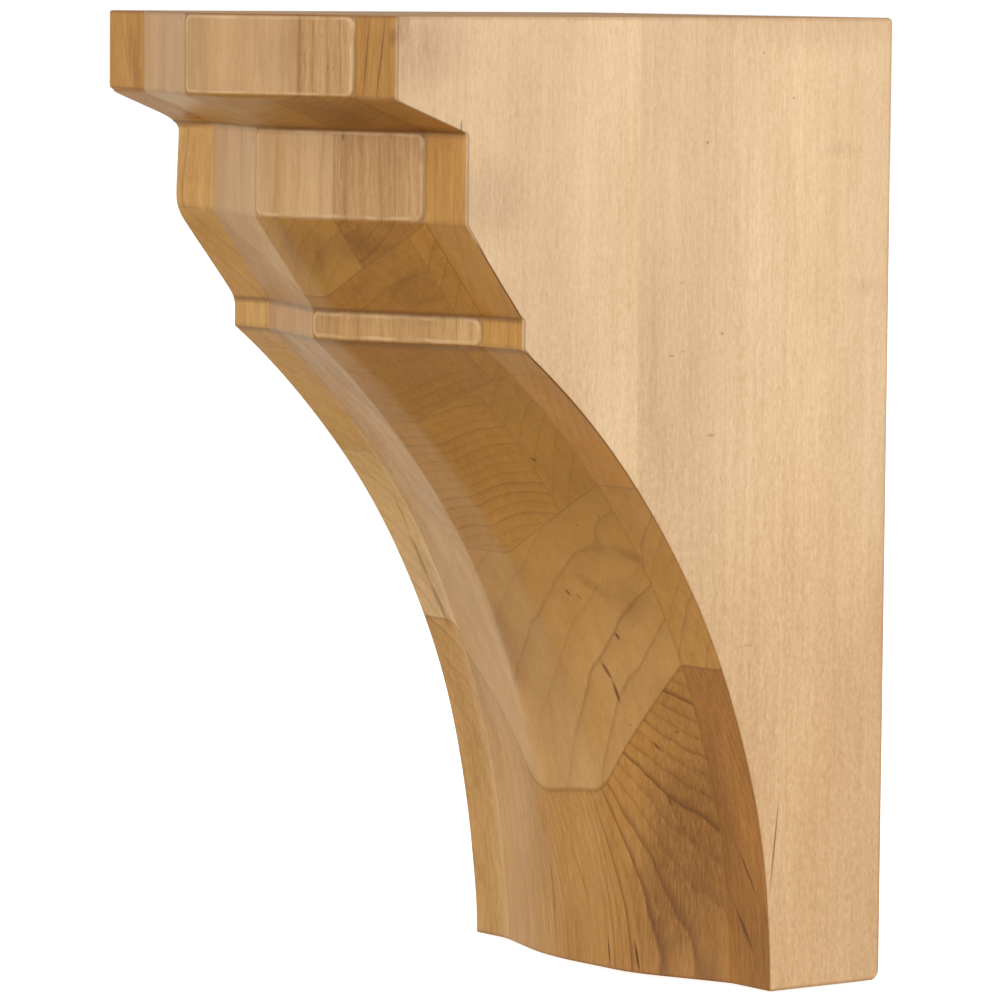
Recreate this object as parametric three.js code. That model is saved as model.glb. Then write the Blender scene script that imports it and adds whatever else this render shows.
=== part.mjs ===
import * as THREE from 'three';

// A carved wood corbel, in millimetres.
// +Z is up, the flat wall face lies in the plane y = 0 and the carved front faces -Y.
// The origin is the centre of the wall face.

// Overall sizes
const HEIGHT = 304.8;
const WIDTH = 152.4;

// Mouldings from the top down. Depths are measured from the wall, along the side boards.
const CAP_HEIGHT = 25;
const CAP_DEPTH = 193.5;
const CAP_BEVEL_HEIGHT = 10;
const BLOCK_HEIGHT = 27.5;
const BLOCK_DEPTH = 167;
const BLOCK_BEVEL_HEIGHT = 29;
const STRIP_HEIGHT = 9;
const STRIP_DEPTH = 145;

// Below the strip the front is one hollow arc that stands upright where it reaches the foot.
const FOOT_DEPTH = 44.7;
const SWEEP_STEPS = 36;

// The front in plan: a flat side board on each side, and between them two splays
// that rise to a flat nose. The nose is narrow on the mouldings and widens to the foot.
const SIDE_BOARD_WIDTH = 20;
const SPLAY_ANGLE = THREE.MathUtils.degToRad(21);
const MOULDING_NOSE_WIDTH = 12;
const FOOT_NOSE_WIDTH = 44;

// Outer edges of the front are eased by a short curve.
const EDGE_EASE = 1.5;
const EASE_STEPS = 3;

const SWEEP_TOP = HEIGHT - CAP_HEIGHT - CAP_BEVEL_HEIGHT - BLOCK_HEIGHT - BLOCK_BEVEL_HEIGHT - STRIP_HEIGHT;

// A point of an outline, marked where its corner is eased.
function corner(x, y, eased = false) {
  return { at: new THREE.Vector2(x, y), eased };
}

// The point one ease length away from a corner, towards its neighbour.
function besideCorner(from, to) {
  const step = to.clone().sub(from).setLength(EDGE_EASE);
  return from.clone().add(step);
}

// The points of an open outline, with a short curve in place of each eased corner.
// The two end points are on the wall and are left out.
function outlinePoints(corners) {
  const points = [];
  for (let i = 1; i < corners.length - 1; i += 1) {
    const { at, eased } = corners[i];
    if (eased) {
      const before = besideCorner(at, corners[i - 1].at);
      const after = besideCorner(at, corners[i + 1].at);
      points.push(...new THREE.QuadraticBezierCurve(before, at, after).getPoints(EASE_STEPS));
    } else {
      points.push(at);
    }
  }
  return points;
}

// The hollow arc, from the foot up to the underside of the strip.
// Its centre is level with the foot, so its radius follows from its rise and its reach.
function sweepCorners() {
  const reach = STRIP_DEPTH - FOOT_DEPTH;
  const radius = (reach ** 2 + SWEEP_TOP ** 2) / (2 * reach);
  const fullTurn = Math.asin(SWEEP_TOP / radius);
  const corners = [];
  for (let i = 0; i <= SWEEP_STEPS; i += 1) {
    const turn = fullTurn * i / SWEEP_STEPS;
    const depth = FOOT_DEPTH + radius * (1 - Math.cos(turn));
    const isEnd = i === 0 || i === SWEEP_STEPS;
    corners.push(corner(depth, radius * Math.sin(turn), isEnd));
  }
  return corners;
}

// The side profile as depths from the wall and heights above the foot, from the foot up.
function profilePoints() {
  const stripTop = SWEEP_TOP + STRIP_HEIGHT;
  const blockBottom = stripTop + BLOCK_BEVEL_HEIGHT;
  const blockTop = blockBottom + BLOCK_HEIGHT;
  const capBottom = blockTop + CAP_BEVEL_HEIGHT;
  return outlinePoints([
    corner(0, 0),
    ...sweepCorners(),
    corner(STRIP_DEPTH, stripTop),
    corner(BLOCK_DEPTH, blockBottom, true),
    corner(BLOCK_DEPTH, blockTop),
    corner(CAP_DEPTH, capBottom, true),
    corner(CAP_DEPTH, HEIGHT, true),
    corner(0, HEIGHT),
  ]);
}

// Half the width of the flat nose at a height above the foot.
function noseHalfWidth(height) {
  const upSweep = Math.min(height / SWEEP_TOP, 1);
  return THREE.MathUtils.lerp(FOOT_NOSE_WIDTH, MOULDING_NOSE_WIDTH, upSweep) / 2;
}

// The front in plan at one level, from the left side to the right side.
function frontPoints(depth, height) {
  const side = WIDTH / 2;
  const splayFoot = side - SIDE_BOARD_WIDTH;
  const nose = noseHalfWidth(height);
  const noseDepth = depth + (splayFoot - nose) * Math.tan(SPLAY_ANGLE);
  return outlinePoints([
    corner(-side, 0),
    corner(-side, -depth, true),
    corner(-splayFoot, -depth),
    corner(-nose, -noseDepth),
    corner(nose, -noseDepth),
    corner(splayFoot, -depth),
    corner(side, -depth, true),
    corner(side, 0),
  ]);
}

// Gathers points and triangles of one closed solid.
class SolidBuilder {
  constructor() {
    this.points = [];
    this.triangles = [];
  }

  // Adds a point and returns its number.
  point(x, y, z) {
    return this.points.push(new THREE.Vector3(x, y, z)) - 1;
  }

  // Fills a flat outline whose outer side faces along an axis.
  addFlatFace(outline, outward) {
    const flat = outline.map((index) => {
      const { x, y, z } = this.points[index];
      return Math.abs(outward.x) === 1 ? new THREE.Vector2(y, z)
        : Math.abs(outward.y) === 1 ? new THREE.Vector2(x, z)
        : new THREE.Vector2(x, y);
    });
    for (const face of THREE.ShapeUtils.triangulateShape(flat, [])) {
      const [a, b, c] = face.map((i) => outline[i]);
      const normal = new THREE.Triangle(this.points[a], this.points[b], this.points[c])
        .getNormal(new THREE.Vector3());
      this.triangles.push(normal.dot(outward) > 0 ? [a, b, c] : [a, c, b]);
    }
  }

  geometry() {
    const result = new THREE.BufferGeometry();
    const positions = this.points.flatMap((point) => point.toArray());
    result.setAttribute('position', new THREE.Float32BufferAttribute(positions, 3));
    result.setIndex(this.triangles.flat());
    result.computeVertexNormals();
    return result;
  }
}

// The corbel as one solid: the carved front is a grid of levels and columns,
// and the wall face, the two sides, the top and the foot close it with flat faces.
function corbelGeometry() {
  const solid = new SolidBuilder();
  const base = -HEIGHT / 2;
  const front = profilePoints().map(({ x: depth, y: height }) =>
    frontPoints(depth, height).map((point) => solid.point(point.x, point.y, base + height)));

  for (let row = 0; row + 1 < front.length; row += 1) {
    const lower = front[row];
    const upper = front[row + 1];
    for (let column = 0; column + 1 < lower.length; column += 1) {
      solid.triangles.push([lower[column], lower[column + 1], upper[column + 1]]);
      solid.triangles.push([lower[column], upper[column + 1], upper[column]]);
    }
  }

  const [lowLeft, lowRight] = [-1, 1].map((side) => solid.point(side * WIDTH / 2, 0, base));
  const [highLeft, highRight] = [-1, 1].map((side) => solid.point(side * WIDTH / 2, 0, base + HEIGHT));
  const leftEdge = front.map((row) => row[0]);
  const rightEdge = front.map((row) => row.at(-1));

  solid.addFlatFace([lowLeft, ...leftEdge, highLeft], new THREE.Vector3(-1, 0, 0));
  solid.addFlatFace([lowRight, ...rightEdge, highRight], new THREE.Vector3(1, 0, 0));
  solid.addFlatFace([lowLeft, ...front[0], lowRight], new THREE.Vector3(0, 0, -1));
  solid.addFlatFace([highLeft, ...front.at(-1), highRight], new THREE.Vector3(0, 0, 1));
  solid.addFlatFace([lowLeft, lowRight, highRight, highLeft], new THREE.Vector3(0, 1, 0));
  return solid.geometry();
}

const mapleMaterial = new THREE.MeshStandardMaterial({
  color: 0xcfa373,
  roughness: 0.45,
  metalness: 0,
  flatShading: true,
});

const corbel = new THREE.Mesh(corbelGeometry(), mapleMaterial);
corbel.name = 'corbel';

const model = new THREE.Group();
model.add(corbel);

export default model;
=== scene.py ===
import math

import bpy
import numpy as np
from mathutils import Matrix, Vector


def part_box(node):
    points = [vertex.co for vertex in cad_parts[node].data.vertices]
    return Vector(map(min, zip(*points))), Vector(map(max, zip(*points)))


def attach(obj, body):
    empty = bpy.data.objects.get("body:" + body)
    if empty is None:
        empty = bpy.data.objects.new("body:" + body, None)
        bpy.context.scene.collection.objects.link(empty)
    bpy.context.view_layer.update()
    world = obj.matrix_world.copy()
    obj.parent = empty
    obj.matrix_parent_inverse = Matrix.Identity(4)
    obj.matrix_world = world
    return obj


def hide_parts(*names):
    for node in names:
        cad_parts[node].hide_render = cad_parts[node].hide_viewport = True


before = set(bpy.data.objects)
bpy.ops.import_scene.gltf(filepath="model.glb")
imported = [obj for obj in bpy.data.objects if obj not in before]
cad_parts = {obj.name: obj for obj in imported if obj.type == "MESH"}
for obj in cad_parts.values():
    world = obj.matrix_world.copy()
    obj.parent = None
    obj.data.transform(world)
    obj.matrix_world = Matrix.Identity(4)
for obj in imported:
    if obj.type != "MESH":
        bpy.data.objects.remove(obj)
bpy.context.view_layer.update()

# Lengths are in metres, except where a comment says millimetres. MM is a millimetre.
MM = 0.001

# The corbel's box, from the frame
corbel_low, corbel_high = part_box("corbel")
HALF_WIDTH = corbel_high.x
BASE = corbel_low.z
TOP = corbel_high.z

# Mouldings from the top down, and depths from the wall along the side boards
CAP_HEIGHT = 25 * MM
CAP_DEPTH = 193.5 * MM
CAP_BEVEL_HEIGHT = 10 * MM
BLOCK_HEIGHT = 27.5 * MM
BLOCK_DEPTH = 167 * MM
BLOCK_BEVEL_HEIGHT = 29 * MM
STRIP_HEIGHT = 9 * MM
STRIP_DEPTH = 145 * MM
FOOT_DEPTH = 44.7 * MM
CAP_BOTTOM = TOP - CAP_HEIGHT
BLOCK_TOP = CAP_BOTTOM - CAP_BEVEL_HEIGHT
BLOCK_BOTTOM = BLOCK_TOP - BLOCK_HEIGHT
STRIP_TOP = BLOCK_BOTTOM - BLOCK_BEVEL_HEIGHT
SWEEP_TOP = STRIP_TOP - STRIP_HEIGHT

# The front in plan
SIDE_BOARD = 20 * MM
SPLAY_FOOT = HALF_WIDTH - SIDE_BOARD
SPLAY_SLOPE = math.tan(math.radians(21))
MOULDING_NOSE = 6 * MM
FOOT_NOSE = 22 * MM

# Rounded edges: the mouldings' arrises, the strip's lower edge, the hollow corners and the creases
# of the splays, the ends and the sides, and the wall face's edges at the foot and at the top
ARRIS_RADIUS = 1.9 * MM
STRIP_EDGE_RADIUS = ARRIS_RADIUS / 2
HOLLOW_RADIUS = 1.3 * MM
CREASE_RADIUS = 0.8 * MM
RIM_RADIUS = 0.6 * MM
FOOT_BACK_RADIUS = 3.4 * MM
TOP_BACK_RADIUS = 1.6 * MM

# How far in from its rim each end face is one flat polygon
END_INSET = 2.2 * MM

# How far the core stands proud of the side boards on the mouldings
LIP = 0.9 * MM

# Depths from the wall of the glue lines between the stacked boards, in millimetres, and the
# stack's depth. The left side boards lie a little further from the wall than the rest.
SEAMS = (33.5, 65.9, 100.4, 134.4, 167.5, 201.0)
STACK = 234.5
LEFT_BOARD_SHIFT = 2.4


def smooth_step(low, high, value):
    t = np.clip((value - low) / (high - low), 0, 1)
    return t * t * (3 - 2 * t)


# The side profile

def rounded_corner(before, at, after, radius, steps):
    """Points of an arc that eases the corner at, between its two neighbours."""
    before, at, after = (Vector(p) for p in (before, at, after))
    back = (before - at).normalized()
    ahead = (after - at).normalized()
    half = back.angle(ahead) / 2
    reach = radius / math.tan(half)
    centre = at + (back + ahead).normalized() * (radius / math.sin(half))
    start = at + back * reach - centre
    end = at + ahead * reach - centre
    turn = start.angle(end)
    points = []
    for i in range(steps + 1):
        t = i / steps
        arm = (start * math.sin((1 - t) * turn) + end * math.sin(t * turn)) / math.sin(turn)
        points.append(tuple(centre + arm))
    return points


def spaced(points, longest):
    """The same line with points added, so that no step is longer than longest."""
    result = [points[0]]
    for start, end in zip(points, points[1:]):
        count = max(1, math.ceil(math.dist(start, end) / longest))
        for i in range(1, count + 1):
            t = i / count
            result.append(tuple(a + (b - a) * t for a, b in zip(start, end)))
    return result


def sweep_points(count):
    """The hollow arc from the foot to the underside of the strip, centred level with the foot."""
    reach = STRIP_DEPTH - FOOT_DEPTH
    rise = SWEEP_TOP - BASE
    radius = (reach ** 2 + rise ** 2) / (2 * reach)
    full_turn = math.asin(rise / radius)
    turns = [full_turn * i / count for i in range(count + 1)]
    return [(FOOT_DEPTH + radius * (1 - math.cos(a)), BASE + radius * math.sin(a)) for a in turns]


# How many rows the sweep has, and how far apart rows lie at most
SWEEP_ROWS = 150
LONGEST_ROW = 1.25 * MM

# Rows added where the wall edges are rounded, in millimetres up from the foot and down from the top
FOOT_ROWS = (0.9, 1.2, 1.6, 2.1, 2.7, 3.3)
TOP_ROWS = (0.8, 1.0, 1.2, 1.4)


def profile():
    """Rows of the front as (depth, height), with the places of its arrises and its hollow corners."""
    sweep = sweep_points(SWEEP_ROWS)
    corners = [
        sweep[-2],
        (STRIP_DEPTH, SWEEP_TOP),
        (STRIP_DEPTH, STRIP_TOP),
        (BLOCK_DEPTH, BLOCK_BOTTOM),
        (BLOCK_DEPTH, BLOCK_TOP),
        (CAP_DEPTH, CAP_BOTTOM),
        (CAP_DEPTH, TOP),
    ]
    points = list(sweep[:-1])
    arris_at, hollow_at = [], []
    for i in range(1, len(corners) - 1):
        outer = i % 2 == 1
        radius = ARRIS_RADIUS if outer else HOLLOW_RADIUS
        if corners[i][1] == SWEEP_TOP:
            radius = STRIP_EDGE_RADIUS
        arc = rounded_corner(corners[i - 1], corners[i], corners[i + 1], radius, CORNER_STEPS)
        points += arc
        (arris_at if outer else hollow_at).append(arc[len(arc) // 2])
    points.append(corners[-1])
    rows = spaced(points, LONGEST_ROW)
    depths, heights = zip(*rows)
    closer = [BASE + step * MM for step in FOOT_ROWS] + [TOP - step * MM for step in TOP_ROWS]
    rows += [(float(np.interp(height, heights, depths)), height) for height in closer]
    rows.sort(key=lambda row: row[1])
    return rows, arris_at, hollow_at


# The front in plan

def nose_half_width(height):
    up_sweep = np.clip((height - BASE) / (SWEEP_TOP - BASE), 0, 1)
    return FOOT_NOSE + (MOULDING_NOSE - FOOT_NOSE) * up_sweep


def softened(x, corner, radius, slope_change):
    """What rounding a corner of a broken line adds to it."""
    reach = np.clip(radius - np.abs(x - corner), 0, None)
    return slope_change * reach ** 2 / (4 * radius)


def splay_rise(x, height):
    """How far the front stands out beyond the side boards: two splays and the flat nose between them.

    The carver let the left splay run out over the side board near the foot and rolled it into the nose."""
    nose = nose_half_width(height)
    low = 1 - smooth_step(BASE, SWEEP_TOP, height)
    left_foot = SPLAY_FOOT + 4.5 * MM * (1 - smooth_step(BASE + 90 * MM, SWEEP_TOP, height))
    full = (SPLAY_FOOT - nose) * SPLAY_SLOPE
    steep = full / (left_foot - nose)
    left = np.clip((left_foot + x) * steep, 0, full)
    right = np.clip((SPLAY_FOOT - x) * SPLAY_SLOPE, 0, full)
    rise = np.where(x < 0, left, right)
    rise = rise + softened(x, -left_foot, CREASE_RADIUS + 3.5 * MM * low, steep)
    rise = rise + softened(x, -nose, CREASE_RADIUS + 15 * MM * low ** 4, -steep)
    rise = rise + softened(x, nose, 3 * MM + 7 * MM * low ** 4, -SPLAY_SLOPE)
    return rise + softened(x, SPLAY_FOOT, CREASE_RADIUS + 2 * MM * low, SPLAY_SLOPE)


def left_stand(x, height):
    """The left side of the sweep stands a little further out than the right, but not at the very foot."""
    low = 1 - smooth_step(BASE, BASE + 150 * MM, height)
    foot = 1 - smooth_step(BASE, BASE + 30 * MM, height)
    left = 1 - smooth_step(-HALF_WIDTH, 10 * MM, x)
    return (1.9 * low - 1.0 * foot) * left * MM


def core_lip(x, height):
    """The core stands proud of the side boards on the mouldings, with a rounded edge at the joint."""
    on_mouldings = smooth_step(SWEEP_TOP - 2 * MM, SWEEP_TOP + 1 * MM, height)
    inward = SPLAY_FOOT - np.abs(x)
    share = np.clip(inward / (2.6 * MM), 0, 1)
    round_edge = np.sqrt(np.clip(1 - (1 - share) ** 2, 0, 1))
    fade = 1 - smooth_step(3 * MM, 30 * MM, inward)
    return LIP * on_mouldings * round_edge * fade


def left_wear(x, height):
    """At the far left the mouldings' corners are rounder, and the block leans out towards its foot."""
    block_slope = (BLOCK_DEPTH - STRIP_DEPTH) / BLOCK_BEVEL_HEIGHT
    cap_slope = (CAP_DEPTH - BLOCK_DEPTH) / CAP_BEVEL_HEIGHT
    corners = (
        (STRIP_TOP, 3 * MM, block_slope),
        (BLOCK_BOTTOM, 4 * MM, -block_slope),
        (BLOCK_TOP, 3 * MM, cap_slope),
        (CAP_BOTTOM, 1.6 * MM, -cap_slope),
    )
    worn = sum(softened(height, *corner) for corner in corners)
    from_top = smooth_step(BLOCK_TOP, BLOCK_BOTTOM + 4 * MM, height)
    lean = from_top * smooth_step(STRIP_TOP, BLOCK_BOTTOM, height)
    worn = worn + 0.9 * MM * np.where(height < BLOCK_TOP, lean, 0)
    return worn * (1 - smooth_step(-HALF_WIDTH, -SPLAY_FOOT + 6 * MM, x))


def hand_work(x, height):
    """The slight waviness that sanding by hand leaves, strongest on the sweep."""
    on_sweep = 1 - smooth_step(SWEEP_TOP - 20 * MM, SWEEP_TOP, height)
    wave = np.sin(x * 61 + height * 37 + 1.3) + np.sin(x * 103 - height * 53 + 4.1)
    wave = wave + np.sin(height * 97 + x * 23 + 0.4)
    return wave * (0.03 + 0.09 * on_sweep) * MM


def wall_rounding(level):
    """How far the rounded edges at the foot and the top stand back from the wall."""
    back = 0.0
    for from_end, radius in ((level - BASE, FOOT_BACK_RADIUS), (TOP - level, TOP_BACK_RADIUS)):
        if from_end < radius:
            back = radius - math.sqrt(radius ** 2 - (radius - from_end) ** 2)
    return back


def clustered(count):
    """Numbers from 0 to 1 that lie closer together near both ends."""
    even = np.linspace(0, 1, count + 1)
    bunched = 0.5 - 0.5 * np.cos(math.pi * even)
    return 0.35 * even + 0.65 * bunched


# Steps across each zone of the front, round an edge, along a side, along the wall and round the
# rim of each end
ZONE_STEPS = (14, 36, 20, 42, 14)
CORNER_STEPS = 5
SIDE_STEPS = 30
BACK_STEPS = 12
RIM_STEPS = 4


def front_columns(height):
    """The x of each column of the front, left to right, between the two eased side edges."""
    nose = float(nose_half_width(height))
    inner = HALF_WIDTH - RIM_RADIUS
    stops = (-inner, -SPLAY_FOOT, -nose, nose, SPLAY_FOOT, inner)
    columns = [stops[0]]
    for steps, start, end in zip(ZONE_STEPS, stops, stops[1:]):
        columns += list(start + (end - start) * clustered(steps)[1:])
    return np.array(columns)


def loop_points(depth, height, inset, level):
    """One closed loop of the corbel at a level, shaped as at a height and drawn in by inset.

    Gives its points, and for each one its distance back from the front edge along a side face, and
    whether it is on the front."""
    rim = RIM_RADIUS
    front_x = front_columns(height)
    front_depth = depth + sum(
        shape(front_x, height) for shape in (splay_rise, left_stand, core_lip, left_wear, hand_work)
    )
    turn = np.linspace(0, math.pi / 2, CORNER_STEPS + 1)[1:]
    edge_depth = {side: front_depth[-1 if side > 0 else 0] for side in (-1, 1)}

    def side_edge(side):
        x = HALF_WIDTH - rim + rim * np.sin(turn)
        return side * x, edge_depth[side] - rim * (1 - np.cos(turn))

    def side_face(side):
        start = edge_depth[side] - rim
        share = np.linspace(0, 1, SIDE_STEPS + 1)[1:] ** 2
        return np.full(SIDE_STEPS, side * HALF_WIDTH), start + (rim - start) * share

    def back_edge(side):
        x = HALF_WIDTH - rim + rim * np.cos(turn)
        return side * x, rim - rim * np.sin(turn)

    right = [side_edge(1), side_face(1), back_edge(1)]
    left = [side_edge(-1), side_face(-1), back_edge(-1)]
    back_x = np.linspace(HALF_WIDTH - rim, rim - HALF_WIDTH, BACK_STEPS + 1)[1:-1]
    parts = [(front_x, front_depth)] + right + [(back_x, np.zeros(BACK_STEPS - 1))]
    parts += [(x[::-1], d[::-1]) for x, d in reversed(left)]
    x = np.concatenate([p[0] for p in parts])
    d = np.concatenate([p[1] for p in parts])
    middle = depth / 2
    x = x * (1 - inset / HALF_WIDTH)
    d = middle + (d - middle) * (1 - inset / middle)
    back = max(0.0, wall_rounding(level) - inset)
    d = np.where(d < middle, back + d * (1 - back / middle), d)
    count = len(front_x)
    on_front = np.zeros(len(x))
    on_front[:count] = 1
    back_from_edge = np.where(x > 0, edge_depth[1] - d, edge_depth[-1] - d)
    back_from_edge[:count] = -HALF_WIDTH + np.abs(front_x)
    points = np.stack([x, -d, np.full(len(x), level)], axis=1)
    return points, back_from_edge, on_front


def nearest(rows, marks, reach):
    """1 at each of these places of the profile, falling to 0 at that reach from it."""
    result = np.zeros(len(rows))
    for mark in marks:
        away = np.hypot(rows[:, 0] - mark[0], rows[:, 1] - mark[1])
        result = np.maximum(result, 1 - smooth_step(0, reach, away))
    return result


# Soft darker clouds, as where the grain swirls round a hidden knot: place and half lengths in
# millimetres, turn about Y in degrees, and strength
CLOUDS = (
    ((38.6, -187.0, 121.5), (11, 14, 7), 0, 0.4),
    ((-12.5, -189.0, 120.0), (7, 8, 4), 0, 0.28),
    ((60.0, -181.0, 121.0), (9, 8, 5), 0, 0.25),
    ((-63.0, -193.5, 139.0), (3.0, 4, 17), -12, 0.3),
    ((3.0, -180.0, 81.0), (2.5, 9, 12), 22, 0.3),
    ((-6.0, -178.0, 84.0), (2.0, 9, 8), 18, 0.2),
    ((29.0, -172.0, 82.0), (12, 9, 6), 0, 0.4),
    ((36.0, -161.0, 71.0), (14, 9, 1.6), -28, 0.25),
    ((20.0, -164.0, 69.0), (12, 9, 1.4), -30, 0.25),
    ((42.0, -160.0, 66.0), (12, 9, 2.0), -10, 0.3),
    ((24.0, -170.0, 58.0), (28, 30, 2.0), 0, 0.1),
    ((54.0, -85.3, -14.8), (7, 7, 2.6), 25, 0.36),
    ((36.0, -85.6, -25.9), (10, 7, 2.2), 40, 0.28),
    ((45.0, -80.0, -30.0), (9, 8, 9), 0, 0.2),
    ((-11.5, -84.0, -47.0), (8, 14, 24), 0, 0.32),
    ((44.0, -54.0, -115.0), (21, 30, 52), 12, 0.68),
    ((50.0, -63.0, -62.0), (9, 12, 10), 0, 0.25),
    ((30.0, -58.0, -128.0), (9, 12, 22), 0, 0.18),
    ((76.2, -22.1, 111.0), (4, 4.5, 2.2), 0, 0.12),
    ((76.2, -10.2, 68.2), (4, 4.0, 3.0), 0, 0.12),
    ((76.2, -184.0, 143.0), (4, 16, 14), 0, 0.24),
    ((76.2, -191.5, 149.5), (4, 4.0, 6.0), 0, 0.25),
    ((76.2, -28.0, 153.0), (4, 46, 12), 0, 0.16),
    ((76.2, -89.0, 50.0), (4, 15, 48), 0, 0.13),
    ((76.2, -157.0, 98.0), (4, 13, 15), 0, 0.2),
    ((32.0, -189.0, 122.0), (34, 15, 7), 0, 0.26),
    ((9.0, -177.0, 80.0), (17, 12, 10), 0, 0.26),
    ((-64.0, -75.0, -32.0), (10, 11, 12), 0, 0.15),
    ((72.0, -45.0, -142.0), (15, 12, 28), 0, 0.38),
    ((42.0, -183.0, 121.5), (7, 9, 5), -25, 0.3),
    ((10.0, -184.0, 117.8), (26, 9, 1.5), 0, 0.4),
    ((56.0, -172.0, 118.0), (20, 9, 1.8), 0, 0.5),
    ((13.0, -175.0, 79.0), (1.6, 8, 10), 30, 0.3),
    ((38.0, -158.5, 70.0), (15, 9, 3.0), -25, 0.22),
)


def on_side_face(centre):
    """Whether a cloud or a mark lies on the right side face, and not on the front."""
    return centre[0] * MM > HALF_WIDTH - RIM_RADIUS


def clouded(points, on_front):
    """How dark the clouds make each point. A cloud darkens only the face it lies on."""
    light = np.ones(len(points))
    for centre, half_lengths, turn, strength in CLOUDS:
        away = points / MM - np.array(centre)
        c, s = math.cos(math.radians(turn)), math.sin(math.radians(turn))
        along_x = away[:, 0] * c - away[:, 2] * s
        along_z = away[:, 0] * s + away[:, 2] * c
        turned = np.stack([along_x, away[:, 1], along_z], axis=1) / np.array(half_lengths)
        same_face = 1 - on_front if on_side_face(centre) else on_front
        cover = 1 - smooth_step(0.2, 1.3, np.linalg.norm(turned, axis=1))
        light *= 1 - strength * same_face * cover
    return 1 - light


# How far an arris's tint and a hollow corner's painted shade reach, and how much of an arris the two end
# rims are
ARRIS_REACH = 1.3 * MM
HOLLOW_REACH = 1.8 * MM
END_ARRIS = 0.6


def mesh_levels():
    """Each level of the corbel, from the foot to the top: its depth, the height that shapes it, its
    inset, its own height, and how much of an arris and of a hollow corner it is."""
    rows, arris_at, hollow_at = profile()
    rows = np.array(rows)
    arris = nearest(rows, arris_at, ARRIS_REACH)
    hollow = nearest(rows, hollow_at, HOLLOW_REACH)
    ease = np.linspace(0, math.pi / 2, RIM_STEPS + 1)
    lowest = BASE + RIM_RADIUS
    highest = TOP - RIM_RADIUS
    levels = [(FOOT_DEPTH, lowest, END_INSET, BASE, 0, 0)]
    for angle in ease[:-1]:
        inset = RIM_RADIUS * (1 - math.sin(angle))
        levels.append((FOOT_DEPTH, lowest, inset, lowest - RIM_RADIUS * math.cos(angle), END_ARRIS, 0))
    inner = (rows[:, 1] > lowest) & (rows[:, 1] < highest)
    for (depth, height), arris_value, hollow_value in zip(rows[inner], arris[inner], hollow[inner]):
        levels.append((depth, height, 0, height, arris_value, hollow_value))
    for angle in ease:
        inset = RIM_RADIUS * (1 - math.cos(angle))
        levels.append((CAP_DEPTH, highest, inset, highest + RIM_RADIUS * math.sin(angle), END_ARRIS, 0))
    levels.append((CAP_DEPTH, highest, END_INSET, TOP, 0, 0))
    return levels


def loop_faces(loops, count):
    """Quads that join each loop of count points to the next, and a polygon that closes each end."""
    faces = []
    for row in range(loops - 1):
        first = row * count
        for column in range(count):
            after = (column + 1) % count
            faces.append((first + column, first + after, first + count + after, first + count + column))
    faces.append(tuple(range(count))[::-1])
    last = (loops - 1) * count
    faces.append(tuple(range(last, last + count)))
    return faces


def corbel_mesh():
    points, insets, clouds, arrises, hollows = [], [], [], [], []
    for depth, height, inset, level, arris_value, hollow_value in mesh_levels():
        loop, back_from_edge, on_front = loop_points(depth, height, inset, level)
        points.append(loop)
        clouds.append(clouded(loop, on_front))
        insets.append(back_from_edge if inset < END_INSET else np.full(len(loop), -HALF_WIDTH))
        arrises.append(arris_value * on_front)
        hollows.append(hollow_value * on_front)
    faces = loop_faces(len(points), len(points[0]))
    mesh = bpy.data.meshes.new("carved_corbel")
    mesh.from_pydata(np.concatenate(points).tolist(), [], faces)
    smooth = np.ones(len(faces), dtype=bool)
    smooth[-2:] = False
    mesh.polygons.foreach_set("use_smooth", smooth)
    attributes = {"edge_inset": insets, "cloud": clouds, "arris": arrises, "hollow": hollows}
    for name, values in attributes.items():
        attribute = mesh.attributes.new(name, "FLOAT", "POINT")
        attribute.data.foreach_set("value", np.concatenate(values).astype(np.float32))
    mesh.update()
    return mesh


# Shader nodes

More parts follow.
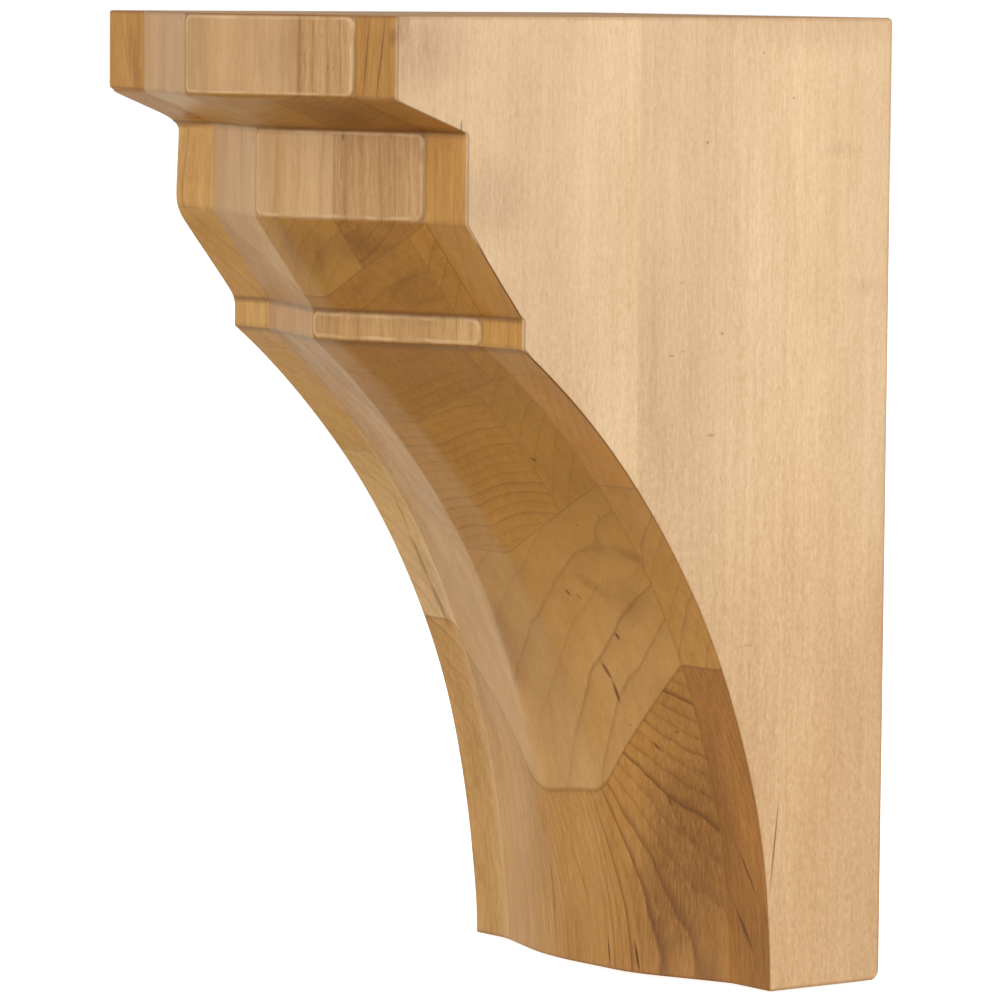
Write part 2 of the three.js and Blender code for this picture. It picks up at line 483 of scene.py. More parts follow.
class Nodes:
    """Short ways to add nodes to a material or a world."""

    def __init__(self, owner):
        self.tree = owner.node_tree

    def add(self, kind, **settings):
        node = self.tree.nodes.new(kind)
        for name, value in settings.items():
            setattr(node, name, value)
        return node

    def feed(self, socket, value):
        if isinstance(value, bpy.types.NodeSocket):
            self.tree.links.new(value, socket)
        elif value is not None:
            socket.default_value = value

    def math(self, operation, a, b=None, clamp=False):
        node = self.add("ShaderNodeMath", operation=operation, use_clamp=clamp)
        self.feed(node.inputs[0], a)
        self.feed(node.inputs[1], b)
        return node.outputs[0]

    def product(self, first, *others):
        for other in others:
            first = self.math("MULTIPLY", first, other)
        return first

    def total(self, first, *others):
        for other in others:
            first = self.math("ADD", first, other)
        return first

    def inverse(self, value):
        return self.math("SUBTRACT", 1.0, value)

    def distance(self, a, b):
        return self.math("ABSOLUTE", self.math("SUBTRACT", a, b))

    def vector(self, operation, a, b=None, scale=None):
        node = self.add("ShaderNodeVectorMath", operation=operation)
        self.feed(node.inputs[0], a)
        self.feed(node.inputs[1], b)
        if scale is not None:
            node.inputs["Scale"].default_value = scale
        return node.outputs["Value" if operation in ("LENGTH", "DOT_PRODUCT") else "Vector"]

    def remap(self, value, low, high, to_low=0.0, to_high=1.0, smooth=True):
        node = self.add("ShaderNodeMapRange", interpolation_type="SMOOTHSTEP" if smooth else "LINEAR")
        for socket, v in zip(node.inputs, (value, low, high, to_low, to_high)):
            self.feed(socket, v)
        return node.outputs[0]

    def window(self, value, opens, open_by, closes, closed_by):
        """1 from open_by to closes, and eased to 0 at opens and at closed_by."""
        opening = self.remap(value, opens, open_by)
        return self.product(opening, self.remap(value, closes, closed_by, 1.0, 0.0))

    def mix(self, factor, a, b, blend="MIX"):
        node = self.add("ShaderNodeMix", data_type="RGBA", blend_type=blend)
        self.feed(node.inputs["Factor"], factor)
        self.feed(node.inputs[6], a)
        self.feed(node.inputs[7], b)
        return node.outputs[2]

    def parts(self, kind, value):
        """The three parts of a vector or a colour."""
        node = self.add(kind)
        self.feed(node.inputs[0], value)
        return node.outputs

    def noise(self, point, stretch, detail=2.0, rough=0.5):
        """Noise of points in millimetres, whose grains are as long as stretch says."""
        node = self.add("ShaderNodeTexNoise")
        scale = tuple(1 / s for s in stretch)
        self.feed(node.inputs["Vector"], self.vector("MULTIPLY", point, scale))
        node.inputs["Scale"].default_value = 1.0
        node.inputs["Detail"].default_value = detail
        node.inputs["Roughness"].default_value = rough
        return node.outputs["Fac"]

    def swing(self, point, stretch, detail=2.0, rough=0.5):
        """The same noise about 0."""
        return self.math("SUBTRACT", self.noise(point, stretch, detail, rough), 0.5)

    def ramp(self, factor, stops, interpolation):
        """A ramp with a colour at each stop's place."""
        node = self.add("ShaderNodeValToRGB")
        ramp = node.color_ramp
        ramp.interpolation = interpolation
        while len(ramp.elements) < len(stops):
            ramp.elements.new(1.0)
        for element, (position, colour) in zip(ramp.elements, stops):
            element.position = position
            element.color = (*colour, 1.0)
        self.feed(node.inputs[0], factor)
        return node.outputs[0]

    def steps(self, factor, colours):
        """A ramp with one flat colour for each board of the stack."""
        stops = [(start / STACK, colour) for start, colour in zip((0, *SEAMS), colours)]
        return self.ramp(factor, stops, "CONSTANT")

    def gradients(self, factor, pairs):
        """A grey ramp that runs from the first to the second value of each board's pair."""
        stops = []
        for (first, second), start, end in zip(pairs, (0, *SEAMS), (*SEAMS, STACK)):
            stops.append(((start + SEAM_BLUR) / STACK, (first,) * 3))
            stops.append(((end - SEAM_BLUR) / STACK, (second,) * 3))
        return self.ramp(factor, stops, "LINEAR")

    def rounded_box(self, point, low, high, radius):
        """How far a point of the plane is from the border of a rounded box, below 0 inside it."""
        over = []
        for value, start, end in zip(point, low, high):
            from_centre = self.distance(value, (start + end) / 2)
            over.append(self.math("SUBTRACT", from_centre, (end - start) / 2 - radius))
        beyond = [self.math("POWER", self.math("MAXIMUM", o, 0.0), 2.0) for o in over]
        outside = self.math("SQRT", self.total(*beyond))
        inside = self.math("MINIMUM", self.math("MAXIMUM", *over), 0.0)
        return self.math("SUBTRACT", self.total(outside, inside), radius)

    def attribute(self, name):
        return self.add("ShaderNodeAttribute", attribute_name=name).outputs["Fac"]


def solid(rgb255):
    """A shader's colour from the usual 0 to 255 values."""
    return (*(((v / 255 + 0.055) / 1.055) ** 2.4 for v in rgb255), 1.0)


# The boards of the blank. Each stave, counted from the wall, holds a left board, two core boards
# that meet at its split, and a right board. A board has a tone, which multiplies the wood's colour,
# the place of its growth rings' middle in plan with the rings' spacing, in millimetres, and a figure:
# how strongly its rings, its streaks and its pores show. Each table has the left boards first, then
# the left and the right half of the core, then the right boards.

# The x of each stave's split, in millimetres. At 57 it lies under the right board, so the core is whole.
SPLITS = (57, 57, 57, 38, 48, 25, 57)

TONES = (
    ((1.00, 0.98, 0.95), (1.13, 1.18, 1.28), (1.46, 1.88, 3.60), (1.34, 1.50, 1.78),
     (1.29, 1.38, 1.42), (1.03, 0.95, 0.70), (1.00, 1.00, 1.00)),
    ((1.00, 1.00, 1.00), (0.99, 0.91, 0.77), (1.11, 1.16, 1.38), (1.07, 1.07, 1.03),
     (0.95, 0.91, 0.78), (1.08, 1.14, 1.24), (0.98, 1.00, 1.07)),
    ((0.98, 0.96, 0.95), (0.99, 0.91, 0.77), (1.11, 1.16, 1.38), (1.05, 1.06, 1.03),
     (1.05, 1.03, 0.94), (0.89, 0.845, 0.77), (0.90, 0.94, 0.99)),
    ((1.00, 1.00, 1.00), (0.84, 0.66, 0.38), (1.16, 1.12, 0.83), (1.22, 1.13, 0.76),
     (1.16, 1.13, 0.88), (1.02, 0.95, 0.72), (1.00, 1.00, 1.00)),
)

# What the side faces' own tone is multiplied by at each stave's wall edge and front edge
SIDE_TONES = (
    (0.98, 1.04), (1.04, 0.99), (0.97, 0.91), (1.03, 0.94), (0.94, 0.92), (0.90, 0.90), (0.90, 0.90),
)

RINGS = (
    ((-230, -160, 3.0), (-106, 60, 2.5), (-170, 70, 3.6), (-150, 60, 3.8),
     (-180, -30, 4.0), (-110, -290, 3.5), (-90, -310, 4.2)),
    ((10, 160, 4.0), (121.4, -198.6, 1.75), (57.1, 58.2, 7.3), (6.7, -29, 2.35),
     (-2.7, 319, 2.75), (26.3, -122.3, 4.2), (-60, 60, 3.4)),
    ((10, 160, 4.0), (121.4, -198.6, 1.75), (57.1, 58.2, 7.3), (100, -20, 5.0),
     (110, -20, 4.5), (20, -300, 2.8), (150, -40, 3.0)),
    ((230, -150, 2.6), (230, -162, 2.0), (160, 80, 3.6), (210, -10, 3.8),
     (200, -60, 4.0), (150, -310, 3.6), (-200, -190, 3.3)),
)

FIGURES = (
    ((0.5, 0.9, 0.5), (0.7, 1.0, 0.5), (0.6, 0.9, 0.5), (0.35, 0.9, 0.5),
     (0.6, 0.9, 0.5), (0.7, 0.8, 0.4), (0.8, 0.8, 0.4)),
    ((0.4, 0.8, 0.5), (1.5, 0.9, 0.4), (0.8, 0.5, 0.5), (0.65, 0.9, 0.9),
     (0.4, 1.1, 0.8), (0.35, 0.6, 0.5), (0.3, 0.6, 0.5)),
    ((0.4, 0.8, 0.5), (1.5, 0.9, 0.4), (0.8, 0.5, 0.5), (0.4, 0.9, 0.7),
     (0.5, 1.0, 0.6), (0.7, 1.3, 1.5), (0.4, 1.1, 0.9)),
    ((0.5, 0.8, 0.5), (0.5, 1.2, 0.6), (0.7, 0.9, 0.6), (0.5, 0.9, 0.7),
     (0.5, 0.8, 0.6), (0.7, 0.9, 0.6), (2.2, 0.9, 0.5)),
)

# A hidden knot that the rings swirl round: its place and reach in millimetres, and how many rings
# it lifts
KNOT = (49.0, -87.0, -18.0)
KNOT_REACH = (15.0, 22.0, 13.0)
KNOT_RINGS = 0.9

# The largest values that the ramps of the boards hold: a pith's distance and a ring's width in
# millimetres, and a figure
PLAN_REACH = 320.0
WIDEST_RING = 12.0
STRONGEST_FIGURE = 3.0

# How far along a ring's width its dark line lies, as a share, and half the width in millimetres
# over which a side's tone steps
RING_LINE_AT = 0.93
SEAM_BLUR = 0.3

# The marks that stand out: place and half lengths in millimetres, turn in degrees, and strength.
# The turn is about X on the right side face and about Y elsewhere.
MARKS = (
    ((-67.0, -193.5, 141.0), (0.35, 4, 12), -16, 0.3),
    ((61.3, -193.5, 139.5), (0.5, 4, 15), 7, 0.5),
    ((68.6, -193.5, 139.5), (0.55, 4, 15), 10, 0.55),
    ((64.6, -193.5, 139.5), (0.4, 4, 10), 8, 0.3),
    ((-26.0, -158.0, 56.5), (0.3, 8, 4.6), 0, 0.5),
    ((74.4, -193.5, 146.0), (2.2, 2, 3.0), 10, 0.35),
    ((39.9, -112.7, 15.2), (1.3, 2, 0.5), 35, 0.75),
    ((26.2, -87.9, -28.4), (0.5, 2, 1.3), -25, 0.75),
    ((29.6, -86.3, -29.8), (0.4, 2, 1.3), -30, 0.45),
    ((37.3, -76.7, -42.0), (0.6, 2, 1.5), -15, 0.8),
    ((29.5, -74.7, -53.5), (0.7, 3, 4.2), -17, 0.7),
    ((30.6, -71.5, -60.5), (0.7, 3, 4.8), -3, 0.8),
    ((32.2, -67.1, -71.1), (0.4, 2, 0.7), 0, 0.4),
    ((41.2, -96.2, -5.8), (0.4, 2, 0.4), 0, 0.5),
    ((50.4, -94.9, -2.5), (0.3, 2, 0.7), 0, 0.4),
    ((11.3, -58.0, -147.0), (0.4, 9, 5.6), -5, 0.95),
    ((23.9, -57.0, -147.3), (0.55, 9, 5.6), -9, 0.95),
    ((-16.7, -60.0, -129.5), (0.7, 9, 12.0), 1, 0.35),
    ((-16.9, -59.0, -135.0), (0.4, 9, 4.0), 1, 0.45),
    ((-0.4, -60.5, -123.7), (0.5, 9, 9.5), -20, 0.3),
    ((39.6, -62.2, -77.5), (0.45, 3, 1.7), -35, 0.8),
    ((40.3, -57.3, -95.0), (0.45, 3, 2.2), -13, 0.7),
    ((48.0, -60.6, -72.2), (0.9, 3, 0.6), 0, 0.55),
    ((44.0, -54.1, -103.5), (0.5, 3, 0.5), 0, 0.5),
    ((-51.1, -100.3, 5.2), (0.8, 3, 1.9), 30, 0.7),
    ((-63.2, -87.8, -10.5), (0.7, 9, 9.0), 10, 0.3),
    ((-64.9, -78.4, -25.0), (1.1, 9, 10.0), 2, 0.42),
    ((-64.2, -70.5, -40.3), (1.3, 9, 9.0), -6, 0.5),
    ((76.2, -43.9, -106.3), (2, 0.4, 17.0), -6.3, 0.65),
    ((76.2, -55.5, -42.7), (2, 2.4, 0.3), 0, 0.25),
    ((76.2, -169.0, 119.2), (2, 0.4, 2.4), 0, 0.6),
    ((76.2, -52.2, 141.5), (2, 0.45, 0.4), 0, 0.45),
    ((76.2, -40.0, 127.5), (2, 0.4, 0.4), 0, 0.5),
    ((76.2, -74.3, 113.9), (2, 0.5, 0.5), 0, 0.55),
    ((76.2, -83.6, 71.0), (2, 0.5, 0.4), 0, 0.4),
    ((76.2, -87.5, 48.6), (2, 1.3, 0.4), 0, 0.35),
    ((76.2, -83.0, 49.8), (2, 0.8, 0.4), 0, 0.3),
    ((76.2, -67.5, 54.9), (2, 0.6, 0.5), 0, 0.5),
    ((76.2, -71.5, 23.5), (2, 2.2, 0.5), 0, 0.28),
    ((28.1, -177.8, 115.6), (0.6, 4, 1.8), 0, 0.6),
    ((-10.9, -210.8, 151.1), (0.7, 3, 0.7), 0, 0.6),
    ((67.4, -47.4, -115.5), (0.6, 3, 9.0), -26, 0.7),
    ((64.2, -45.3, -134.5), (0.9, 3, 7.5), -30, 0.75),
    ((61.5, -45.8, -131.0), (0.35, 3, 9.0), -24, 0.45),
)

# The lower and upper edge of each moulding's face, and the radius of its raised part's corners
PANELS = ((SWEEP_TOP, STRIP_TOP), (BLOCK_BOTTOM, BLOCK_TOP), (CAP_BOTTOM, TOP))
PANEL_ROUND = 3 * MM

# The wood's lighter and darker colour: on the raised faces of the mouldings, on the sides, where
# it is carved along the grain, and where it is cut across it. The planed colour also paints light onto the
# upward faces.
PLANED = ((220, 179, 128), (188, 142, 90))
SIDE = ((227, 198, 162), (202, 168, 129))
CARVED = ((212, 163, 100), (177, 127, 66))
ACROSS = ((180, 127, 51), (146, 95, 25))

# What the wood is tinted towards
CLOUD_BROWN = (124, 76, 32)
RING_BROWN = (108, 62, 26)
PORE_BROWN = (124, 76, 38)
GLUE_BROWN = (126, 80, 38)
MARK_BROWN = (92, 50, 20)
BORDER_HIGHLIGHT = (236, 204, 160)
DARK_BORDER = (112, 66, 28)
HOLLOW_SHADE_BROWN = (104, 62, 26)
EDGE_BROWN = (110, 58, 18)
RIM_HIGHLIGHT = (226, 186, 136)
END_TAN = (150, 100, 56)
UNDER_STRIP_SHADE = (104, 60, 24)
ARRIS_BROWN = (120, 72, 32)

# What multiplies the wood's colour: white, which leaves it as it is, and a side's painted shade at its
# foot, darker and warmer where less sheen falls
WHITE = (1.0, 1.0, 1.0, 1.0)
FOOT_SHADE_TONE = (0.91, 0.84, 0.76, 1.0)


def packed_ring(pith_x, pith_y, spacing):
    """Ring values brought into 0 to 1, as a colour ramp holds them."""
    return (0.5 + pith_x / (2 * PLAN_REACH), 0.5 + pith_y / (2 * PLAN_REACH), spacing / WIDEST_RING)


def packed_figure(*strengths):
    return tuple(strength / STRONGEST_FIGURE for strength in strengths)


class Maple(Nodes):
    """Clear-finished maple, glued up from boards. Lengths in its nodes are in millimetres."""

    def __init__(self, material):
        super().__init__(material)
        self.shader = self.tree.nodes["Principled BSDF"]
        place = self.add("ShaderNodeTexCoord")
        self.point = self.vector("SCALE", place.outputs["Object"], scale=1 / MM)
        self.x, self.y, self.z = self.parts("ShaderNodeSeparateXYZ", self.point)
        self.sideways, _, self.upwards = self.parts("ShaderNodeSeparateXYZ", place.outputs["Normal"])
        self.steep = self.math("ABSOLUTE", self.upwards)
        self.end_grain = self.remap(self.steep, 0.12, 0.75)
        outermost = self.math("GREATER_THAN", self.math("ABSOLUTE", self.x), HALF_WIDTH / MM - 2.0)
        self.on_side = self.product(self.remap(self.math("ABSOLUTE", self.sideways), 0.45, 0.7), outermost)
        self.find_board()
        self.read_board()
        self.draw_rings()
        self.draw_fibres()
        self.colour_wood()
        self.draw_glue_lines()
        self.draw_marks()
        self.draw_panels()
        self.darken_corners()
        self.draw_edges()
        self.feed(self.shader.inputs["Base Color"], self.wood)
        self.lacquer()

    def paint(self, strength, rgb255):
        """Tints the wood towards a colour."""
        self.wood = self.mix(strength, self.wood, solid(rgb255))

    def by_side(self, share):
        """This share on the side faces, and 1 elsewhere."""
        return self.remap(self.on_side, 0.0, 1.0, 1.0, share)

    def find_board(self):
        """The stave and the board of it that a point lies in."""
        half = HALF_WIDTH / MM
        self.in_left = self.math("LESS_THAN", self.x, -SPLAY_FOOT / MM)
        shift = self.product(self.in_left, LEFT_BOARD_SHIFT)
        self.depth = self.math("SUBTRACT", self.product(self.y, -1.0), shift)
        self.stave = self.math("DIVIDE", self.depth, STACK)
        packed_split = self.steps(self.stave, [((split + half) / (2 * half),) * 3 for split in SPLITS])
        self.split = self.remap(packed_split, 0.0, 1.0, -half, half, smooth=False)
        self.in_right_core = self.math("GREATER_THAN", self.x, self.split)
        self.in_right = self.math("GREATER_THAN", self.x, SPLAY_FOOT / MM)

    def by_board(self, values):
        left, core_left, core_right, right = (self.steps(self.stave, zone) for zone in values)
        core = self.mix(self.in_right_core, core_left, core_right)
        return self.mix(self.in_right, self.mix(self.in_left, core, left), right)

    def read_board(self):
        """The board's tone, rings and figure."""
        self.tone = self.by_board(TONES)
        rings = self.by_board([[packed_ring(*ring) for ring in zone] for zone in RINGS])
        pith_x, pith_y, spacing = self.parts("ShaderNodeSeparateColor", rings)
        self.pith_x = self.remap(pith_x, 0.0, 1.0, -PLAN_REACH, PLAN_REACH, smooth=False)
        self.pith_y = self.remap(pith_y, 0.0, 1.0, -PLAN_REACH, PLAN_REACH, smooth=False)
        self.spacing = self.product(spacing, WIDEST_RING)
        figures = self.by_board([[packed_figure(*figure) for figure in zone] for zone in FIGURES])
        figures = self.parts("ShaderNodeSeparateColor", figures)
        figures = (self.product(figure, STRONGEST_FIGURE) for figure in figures)
        self.ring_figure, self.streak_figure, self.pore_figure = figures

    def draw_rings(self):
        """Growth rings round the pith, wavering along the board and swirling round the knot."""
        waver = self.swing(self.point, (34, 34, 70), 2.0, 0.45)
        self.tremble = self.swing(self.point, (6, 6, 20), 1.0)
        tremble = self.math("DIVIDE", self.product(self.tremble, 0.7), self.spacing)
        from_knot = self.vector("SUBTRACT", self.point, KNOT)
        from_knot = self.vector("MULTIPLY", from_knot, tuple(1 / reach for reach in KNOT_REACH))
        lift = self.remap(self.vector("LENGTH", from_knot), 0.0, 1.0, KNOT_RINGS, 0.0)
        waver = self.total(self.product(waver, 1.3), tremble, lift)
        away_x = self.math("SUBTRACT", self.x, self.pith_x)
        away_y = self.math("SUBTRACT", self.y, self.pith_y)
        span = self.math("SQRT", self.total(self.product(away_x, away_x), self.product(away_y, away_y)))
        ring = self.total(self.math("DIVIDE", span, self.spacing), waver)

        chance = self.add("ShaderNodeTexWhiteNoise", noise_dimensions="2D")
        pair = self.add("ShaderNodeCombineXYZ")
        self.feed(pair.inputs[0], self.math("FLOOR", ring))
        self.feed(pair.inputs[1], self.pith_x)
        self.feed(chance.inputs["Vector"], pair.outputs[0])
        by_ring = self.remap(chance.outputs["Value"], 0.0, 0.9, 0.3, 0.9)

        within = self.math("FRACT", ring)
        band = self.math("POWER", within, 3.0)
        band = self.product(band, self.remap(within, RING_LINE_AT, 1.0, 1.0, 0.0))
        from_line = self.product(self.distance(within, RING_LINE_AT), self.spacing)
        thin = self.remap(from_line, 0.0, 0.6, 0.6, 0.0)
        late = self.total(self.product(band, self.remap(self.end_grain, 0.0, 1.0, 0.5, 0.65)), thin)

        by_splay = self.remap(self.sideways, -0.33, -0.2, 0.3, 1.0)
        by_nose = self.remap(self.x, 2.0, 26.0, 0.35, 1.0)
        by_nose = self.math("MAXIMUM", by_nose, self.remap(self.z, -80.0, -60.0))
        self.ring_line = self.product(late, by_ring, self.ring_figure, self.by_side(0.1), by_splay, by_nose)

    def draw_fibres(self):
        """Fibres, broad streaks and short pores, all drawn out along the grain, and a side's fleck."""
        bend = self.add("ShaderNodeTexNoise")
        self.feed(bend.inputs["Vector"], self.vector("MULTIPLY", self.point, (0.16, 0.16, 0.11)))
        bend.inputs["Scale"].default_value = 1.0
        bend.inputs["Detail"].default_value = 1.0
        curl = self.vector("SUBTRACT", bend.outputs["Color"], (0.5, 0.5, 0.5))
        curled = self.vector("ADD", self.point, self.vector("MULTIPLY", curl, (1.7, 1.7, 0.0)))
        self.fibre = self.swing(curled, (0.7, 0.7, 7), 3.0, 0.6)
        streak = self.swing(curled, (2.4, 2.4, 60), 3.0, 0.6)
        broad = self.swing(self.point, (16, 16, 80), 2.0, 0.5)
        fleck = self.swing(curled, (1.1, 1.1, 2.0), 2.0, 0.6)
        fleck = self.product(fleck, self.on_side, self.remap(self.z, -60.0, 120.0, 1.8, 1.1))
        self.open_pore = self.remap(self.noise(self.point, (0.45, 0.45, 3.0), 1.0), 0.64, 0.78)

        by_side = self.by_side(0.8)
        streaks = self.total(self.product(streak, 1.3), self.product(self.fibre, 1.25))
        streaks = self.total(self.product(streaks, self.streak_figure, by_side), fleck)
        shade = self.math("ADD", self.total(self.product(broad, 1.1), streaks), 0.5, clamp=True)
        contrast = self.product(by_side, self.remap(self.end_grain, 0.0, 1.0, 1.0, 0.6))
        self.shade = self.total(self.product(self.math("SUBTRACT", shade, 0.5), contrast), 0.5)

    def colour_wood(self):
        """The wood's colour by the way it is cut, times its board's tone, with its clouds and rings. It
        also holds painted light and shade: upward faces lighter, left splays darker, and the sides darker
        and warmer towards the foot.
        """
        planed, side, carved, across = (
            self.mix(self.shade, solid(pale), solid(dark)) for pale, dark in (PLANED, SIDE, CARVED, ACROSS)
        )
        self.facing_up = self.remap(self.upwards, 0.5, 0.9)
        # Painted light: upward faces take the planed colour, lighter than the end grain they are cut in.
        across = self.mix(self.facing_up, across, planed)
        carved = self.mix(self.end_grain, carved, across)
        self.on_mouldings = self.math("LESS_THAN", self.y, 2.0 - STRIP_DEPTH / MM)
        self.upright = self.remap(self.steep, 0.1, 0.4, 1.0, 0.0)
        in_core = self.inverse(self.total(self.in_left, self.in_right))
        # Painted shade: faces turned to the left keep the darker, warmer carved colour, which offsets the
        # pale reflection they catch from the left.
        by_splay = self.remap(self.sideways, -0.33, -0.2, 0.1, 1.0)
        on_planed = self.product(self.on_mouldings, self.upright, in_core, by_splay)
        wood = self.mix(on_planed, carved, planed)
        wood = self.mix(self.on_side, wood, side)

        # Painted shade: the side faces grow darker and warmer towards the foot, where less sheen falls.
        by_height = self.mix(self.remap(self.z, -100.0, 60.0), FOOT_SHADE_TONE, WHITE)
        side_tone = self.mix(1.0, self.gradients(self.stave, SIDE_TONES), by_height, "MULTIPLY")
        # Painted light: upward faces lose most of the board's tone, so the top reads lighter.
        tone = self.mix(self.product(self.facing_up, 0.8), self.tone, WHITE)
        tone = self.mix(self.on_side, tone, side_tone)
        self.wood = self.mix(1.0, wood, tone, "MULTIPLY")

        ragged = self.total(self.product(self.fibre, 1.5), 1.0)
        self.paint(self.math("MULTIPLY", self.attribute("cloud"), ragged, clamp=True), CLOUD_BROWN)
        self.paint(self.math("MULTIPLY", self.ring_line, 0.5, clamp=True), RING_BROWN)
        self.paint(self.product(self.open_pore, self.pore_figure, 0.3), PORE_BROWN)

    def draw_glue_lines(self):
        to_glue = self.distance(self.math("ABSOLUTE", self.x), SPLAY_FOOT / MM)
        to_glue = self.math("MINIMUM", to_glue, self.distance(self.x, self.split))
        for seam in SEAMS:
            to_glue = self.math("MINIMUM", to_glue, self.distance(self.depth, seam))
        self.paint(self.product(self.remap(to_glue, 0.05, 0.35, 0.34, 0.0), self.by_side(0.2)), GLUE_BROWN)

    def draw_marks(self):
        ragged = self.product(self.fibre, 0.8)
        for centre, half_lengths, turn, strength in MARKS:
            angle = math.radians(turn)
            node = self.add("ShaderNodeMapping", vector_type="TEXTURE")
            self.feed(node.inputs["Vector"], self.point)
            node.inputs["Location"].default_value = centre
            node.inputs["Rotation"].default_value = (angle, 0, 0) if on_side_face(centre) else (0, angle, 0)
            node.inputs["Scale"].default_value = half_lengths
            away = self.total(self.vector("LENGTH", node.outputs[0]), ragged)
            self.paint(self.remap(away, 0.4, 1.2, strength, 0.0), MARK_BROWN)

    def draw_panels(self):
        """Each moulding's raised face, from the left crease to the right glue line, has a painted highlight
        along its rounded border, where the lacquer's sheen catches the edge, with a dark line outside it."""
        to_border = None
        for low, high in PANELS:
            corners = ((-MOULDING_NOSE / MM, low / MM), (SPLAY_FOOT / MM, high / MM))
            border = self.rounded_box((self.x, self.z), *corners, PANEL_ROUND / MM)
            to_border = border if to_border is None else self.math("MINIMUM", to_border, border)
        to_border = self.total(to_border, self.product(self.tremble, 0.8))
        facing = self.product(self.on_mouldings, self.upright, self.inverse(self.on_side))
        patchy = self.remap(self.noise(self.point, (9, 9, 9), 1.0), 0.35, 0.62, 0.15, 0.55)
        pale = self.window(to_border, -1.9, -1.1, -0.8, -0.3)
        dark = self.window(to_border, -0.6, -0.1, 0.2, 0.8)
        # Painted highlight: the pale border stands in for the sheen on the raised face's rounded edge.
        self.paint(self.product(pale, facing, patchy), BORDER_HIGHLIGHT)
        self.paint(self.product(dark, facing, 0.3), DARK_BORDER)

    def darken_corners(self):
        """Painted shade in the hollow corners."""
        # Painted shade: darkens the hollow corners where the mouldings meet.
        self.paint(self.product(self.attribute("hollow"), 0.65), HOLLOW_SHADE_BROWN)

    def draw_edges(self):
        """A dark line beside each side edge, right on the edge along the sweep and the long bevel and
        with a painted highlight on the rim elsewhere, darker ends, wall edges and arrises, and painted
        shade under the strip."""
        # The heights at which the strip, the long bevel and the block begin
        strip, bevel, block = SWEEP_TOP / MM, STRIP_TOP / MM, BLOCK_BOTTOM / MM
        inset = self.product(self.attribute("edge_inset"), 1 / MM)
        below_strip = self.window(self.z, strip - 36.9, strip - 6.9, strip - 0.9, strip + 1.1)
        inset = self.product(inset, self.remap(below_strip, 0.0, 1.0, 1.0, 0.6))
        on_bevel = self.window(self.z, bevel - 0.4, bevel + 1.6, block - 11.9, block - 1.9)
        on_sweep = self.remap(self.z, strip - 2.9, strip + 1.1, 1.0, 0.0)
        at_edge = self.math("MAXIMUM", on_sweep, on_bevel)
        shifted = self.total(inset, self.product(at_edge, 0.7))
        by_height = self.remap(self.z, strip - 81.9, strip - 6.9, -0.15, 0.45)
        strength = self.total(self.product(at_edge, by_height), 0.45)
        self.paint(self.product(self.window(shifted, 0.2, 0.5, 0.8, 1.3), strength), EDGE_BROWN)
        # Painted highlight: a pale line on the rounded rim of each side edge on the mouldings.
        rim = self.window(inset, -0.8, -0.4, -0.1, 0.1)
        self.paint(self.product(rim, self.inverse(at_edge), 0.45), RIM_HIGHLIGHT)

        to_end = self.math("SUBTRACT", TOP / MM, self.math("ABSOLUTE", self.z))
        to_rim = self.total(self.math("MINIMUM", to_end, self.depth), self.product(self.tremble, 0.8))
        self.paint(self.remap(to_rim, 0.3, 1.5, 0.42, 0.0), END_TAN)
        # Painted shade just under the strip's lower edge, on the front of the mouldings.
        under_strip = self.window(self.z, strip - 2.5, strip - 0.7, strip - 0.3, strip + 0.2)
        off_side = self.inverse(self.on_side)
        self.paint(self.product(under_strip, off_side, self.on_mouldings, 0.45), UNDER_STRIP_SHADE)
        self.paint(self.product(self.attribute("arris"), 0.22), ARRIS_BROWN)

    def lacquer(self):
        """A satin lacquer that shows the pores. The sawn top is duller."""
        rough = self.remap(self.noise(self.point, (9, 9, 30), 2.0), 0.3, 0.7, 0.36, 0.46)
        self.feed(self.shader.inputs["Roughness"], self.total(rough, self.product(self.facing_up, 0.5)))
        self.shader.inputs["Specular IOR Level"].default_value = 0.3
        self.shader.inputs["Coat Weight"].default_value = 0.12
        self.shader.inputs["Coat Roughness"].default_value = 0.24
        relief = self.math("SUBTRACT", self.product(self.fibre, 0.5), self.open_pore)
        bump = self.add("ShaderNodeBump")
        bump.inputs["Strength"].default_value = 0.3
        bump.inputs["Distance"].default_value = 0.1 * MM
        self.feed(bump.inputs["Height"], relief)
        self.feed(self.shader.inputs["Normal"], bump.outputs[0])


def maple_material():
    material = bpy.data.materials.new("maple")
    material.use_nodes = True
    Maple(material)
    return material


# Camera, lights and stage

# The camera, as solved from corners in the photo: turn from the front, pitch, roll, place and lens
CAMERA_AZIMUTH = math.radians(52.74)
CAMERA_PITCH = math.radians(4.66)
CAMERA_ROLL = math.radians(-0.56)
CAMERA_AT = Vector((1.6388, -1.3418, 0.1669))
CAMERA_LENS = 235.1

# Soft boxes: name, azimuth, elevation, distance, size, power and colour
LIGHTS = (
    ("key", 84, 24, 1.5, 1.0, 9.5, (1.0, 0.99, 0.97)),
    ("sheen", 126, 24, 1.5, 0.8, 7, (1.0, 1.0, 1.0)),
    ("front", 4, 4, 1.8, 1.2, 10, (1.0, 0.99, 0.97)),
)

FLOOR_RADIUS = 9.0
DOME_RADIUS = 8.9

# How bright the room is above and below, and what the wall on the left adds
ROOM_ABOVE = 0.43
ROOM_BELOW = 0.64
WALL_LIGHT = 0.46
WARM_BELOW = (1.0, 0.89, 0.68, 1.0)
WARM_ABOVE = (1.0, 0.97, 0.9, 1.0)


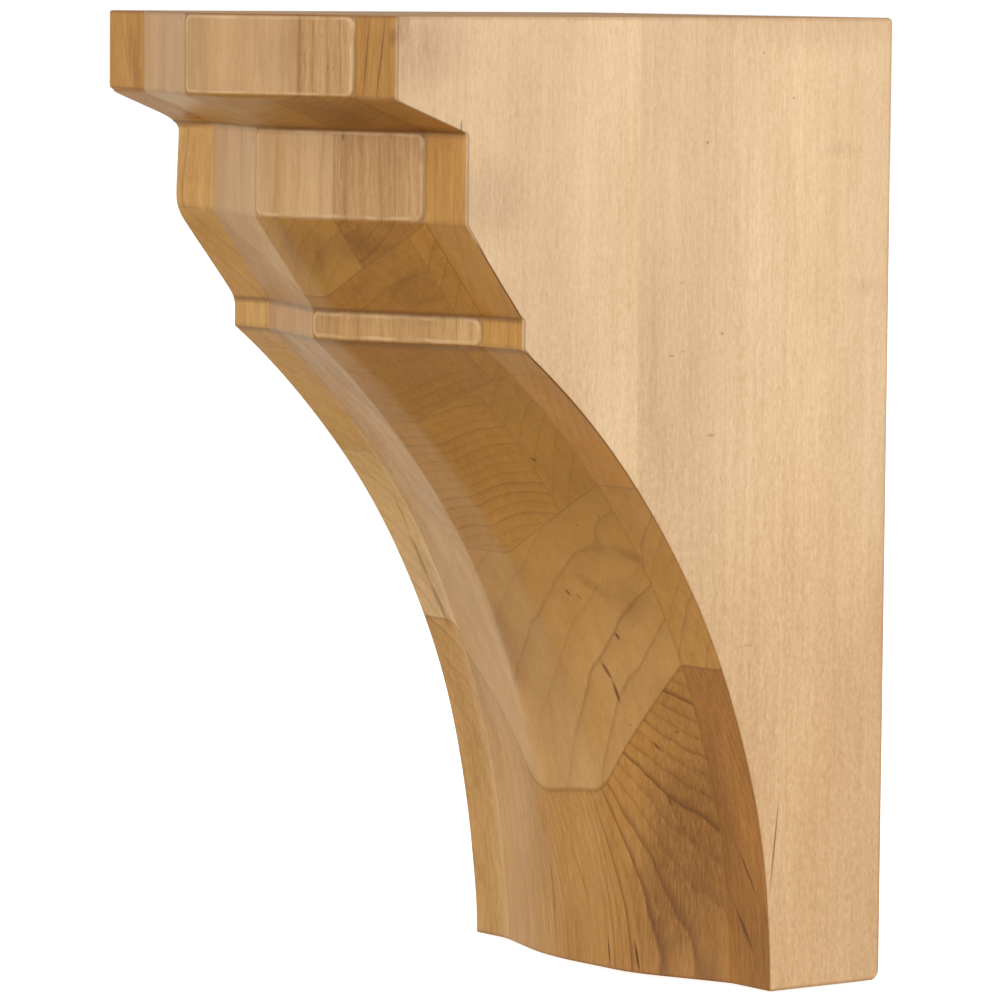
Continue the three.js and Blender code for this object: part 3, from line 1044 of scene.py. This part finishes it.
def add_camera():
    data = bpy.data.cameras.new("camera")
    data.lens = CAMERA_LENS
    data.sensor_width = 36.0
    data.clip_end = 60.0
    camera = bpy.data.objects.new("camera", data)
    bpy.context.scene.collection.objects.link(camera)
    away = Vector((-math.sin(CAMERA_AZIMUTH), math.cos(CAMERA_AZIMUTH), 0)) * math.cos(CAMERA_PITCH)
    away.z = -math.sin(CAMERA_PITCH)
    level_right = Vector((math.cos(CAMERA_AZIMUTH), math.sin(CAMERA_AZIMUTH), 0))
    level_up = level_right.cross(away)
    right = level_right * math.cos(CAMERA_ROLL) - level_up * math.sin(CAMERA_ROLL)
    up = level_right * math.sin(CAMERA_ROLL) + level_up * math.cos(CAMERA_ROLL)
    turn = Matrix((right, up, -away)).transposed()
    camera.matrix_world = Matrix.Translation(CAMERA_AT) @ turn.to_4x4()
    bpy.context.scene.camera = camera


def add_light(name, azimuth, elevation, distance, size, power, colour):
    """A square soft box that faces the middle of the corbel."""
    data = bpy.data.lights.new(name, "AREA")
    data.size = size
    data.energy = power
    data.color = colour
    light = bpy.data.objects.new(name, data)
    bpy.context.scene.collection.objects.link(light)
    a, e = math.radians(azimuth), math.radians(elevation)
    back = Vector((math.sin(a) * math.cos(e), -math.cos(a) * math.cos(e), math.sin(e)))
    middle = Vector((0, -CAP_DEPTH / 2, 0))
    light.location = middle + back * distance
    light.rotation_euler = back.to_track_quat("Z", "Y").to_euler()


def plain_material(name, colour, glow=0.0):
    material = bpy.data.materials.new(name)
    material.use_nodes = True
    shader = material.node_tree.nodes["Principled BSDF"]
    shader.inputs["Base Color"].default_value = (*colour, 1)
    shader.inputs["Roughness"].default_value = 0.9
    shader.inputs["Emission Color"].default_value = (1, 1, 1, 1)
    shader.inputs["Emission Strength"].default_value = glow
    return material


def stage_piece(name, material):
    """Names the object that was just added. It neither lights the corbel nor shows in its finish."""
    piece = bpy.context.object
    piece.name = name
    piece.data.materials.append(material)
    piece.visible_diffuse = False
    piece.visible_glossy = False
    return piece


def add_stage():
    """A white floor just below the foot, and a white dome round it that casts no shadow."""
    add_circle = bpy.ops.mesh.primitive_circle_add
    add_circle(vertices=64, radius=FLOOR_RADIUS, fill_type="NGON", location=(0, 0, BASE - 1 * MM))
    floor = stage_piece("floor", plain_material("floor_white", (0.9, 0.9, 0.9), glow=0.85))
    add_sphere = bpy.ops.mesh.primitive_uv_sphere_add
    add_sphere(segments=48, ring_count=24, radius=DOME_RADIUS, location=(0, 0, BASE))
    dome = stage_piece("backdrop", plain_material("backdrop_white", (0, 0, 0), glow=1.0))
    dome.visible_shadow = False


def add_world():
    """A dim warm room, brighter towards a wall on the left."""
    world = bpy.data.worlds.new("studio")
    world.use_nodes = True
    n = Nodes(world)
    background = n.tree.nodes["Background"]
    direction = n.add("ShaderNodeTexCoord").outputs["Generated"]
    towards_wall = n.vector("DOT_PRODUCT", direction, (-0.99, 0.12, 0.0))
    upwards = n.vector("DOT_PRODUCT", direction, (0.0, 0.0, 1.0))
    room = n.remap(upwards, -0.7, 0.7, ROOM_BELOW, ROOM_ABOVE)
    wall = n.remap(towards_wall, 0.5, 0.95, 0.0, WALL_LIGHT)
    n.feed(background.inputs["Color"], n.mix(n.remap(upwards, -0.5, 0.3), WARM_BELOW, WARM_ABOVE))
    n.feed(background.inputs["Strength"], n.total(room, wall))
    bpy.context.scene.world = world


def set_colours():
    bpy.context.scene.view_settings.view_transform = "Standard"


# The corbel

def add_corbel():
    corbel = bpy.data.objects.new("carved_corbel", corbel_mesh())
    bpy.context.scene.collection.objects.link(corbel)
    corbel.data.materials.append(maple_material())
    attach(corbel, "root")
    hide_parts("corbel")


add_camera()
add_world()
for light in LIGHTS:
    add_light(*light)
add_stage()
set_colours()
add_corbel()
